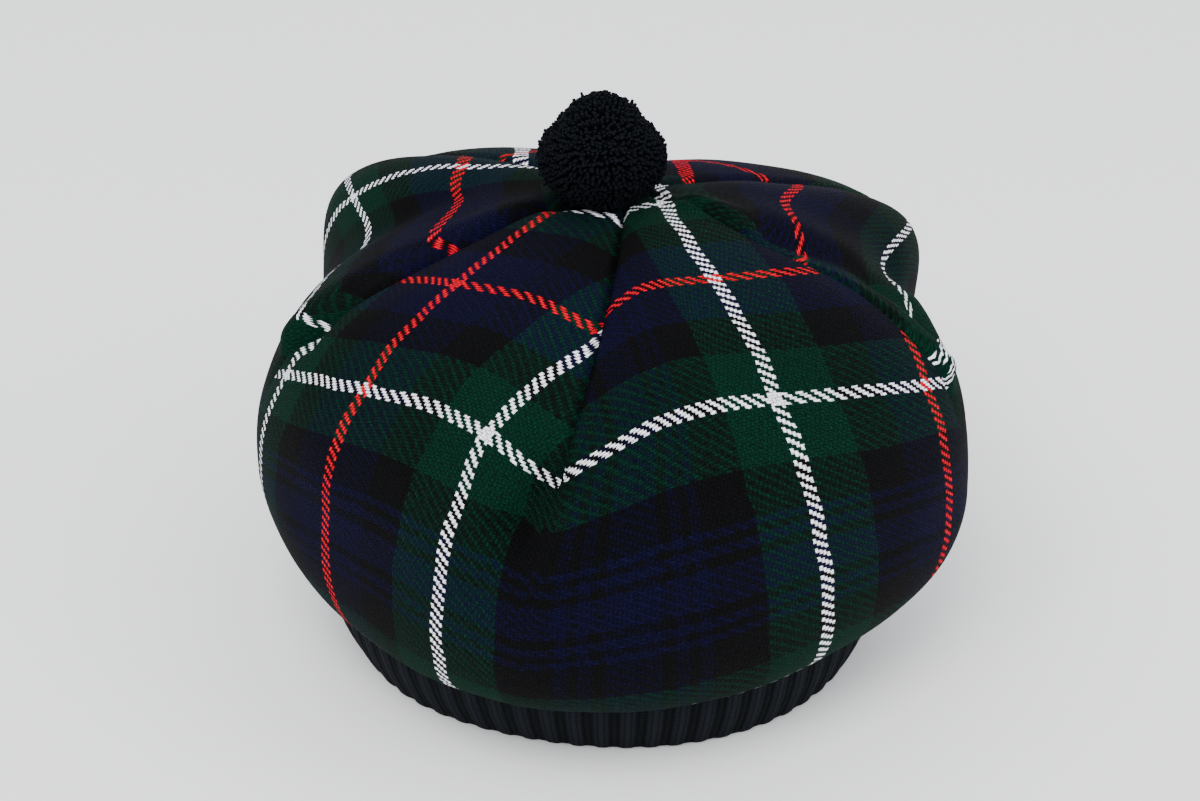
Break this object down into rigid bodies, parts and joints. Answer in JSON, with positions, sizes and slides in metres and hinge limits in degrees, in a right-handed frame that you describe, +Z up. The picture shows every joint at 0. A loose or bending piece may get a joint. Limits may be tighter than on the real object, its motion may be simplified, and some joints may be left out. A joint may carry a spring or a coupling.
{
  "type": "tam o shanter",
  "caption": "Soft round tartan cap puffed out over a dark rib-knit headband, its darts meeting under a dark yarn pompom.",
  "frame": {"origin": "on the floor under the middle of the hat's box, with the hat standing on its band", "axes": "+Z up through the pompom, -Y towards the wearer's front, +X to the right of someone facing the hat's front"},
  "size_m": [0.259, 0.2522, 0.2103],
  "materials": {
    "tartan_cloth": "brushed twill, matt",
    "rib_knit": "rib knit, matt",
    "yarn": "cut yarn ends, matt"
  },
  "bodies": {
    "root": {"crown": "tartan_cloth", "band": "rib_knit", "pompom": "yarn"}
  },
  "joints": []
}
